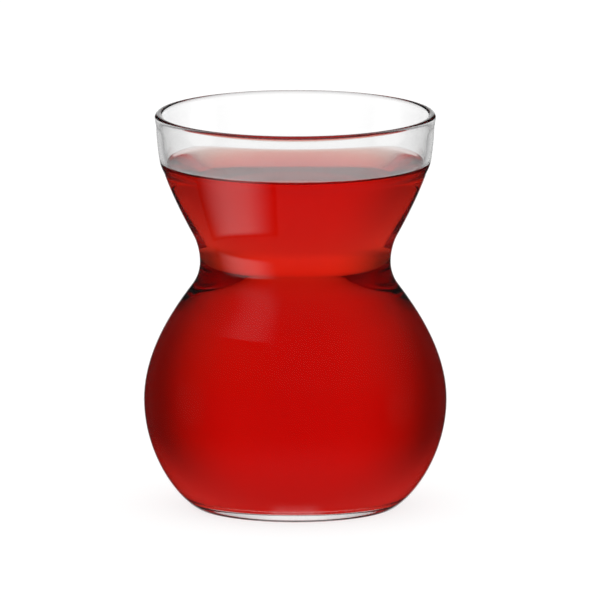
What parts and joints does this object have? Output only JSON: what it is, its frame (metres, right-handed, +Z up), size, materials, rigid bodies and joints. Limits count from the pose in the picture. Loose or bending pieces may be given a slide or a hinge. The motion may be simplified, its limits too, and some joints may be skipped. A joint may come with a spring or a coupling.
{
  "type": "turkish tea glass",
  "caption": "Waisted clear tea glass with a round belly, a narrow waist and a flared cone, filled with red tea.",
  "frame": {"origin": "centre of the ring that the glass stands on", "axes": "+Z up along the axis that the glass is turned about; X and Y are free, as the glass is round"},
  "size_m": [0.0628, 0.0626, 0.082],
  "materials": {
    "glass": "clear, polished, thin blown glass",
    "tea": "clear deep red liquid"
  },
  "bodies": {
    "root": {"glass": "glass", "tea": "tea"}
  },
  "joints": []
}
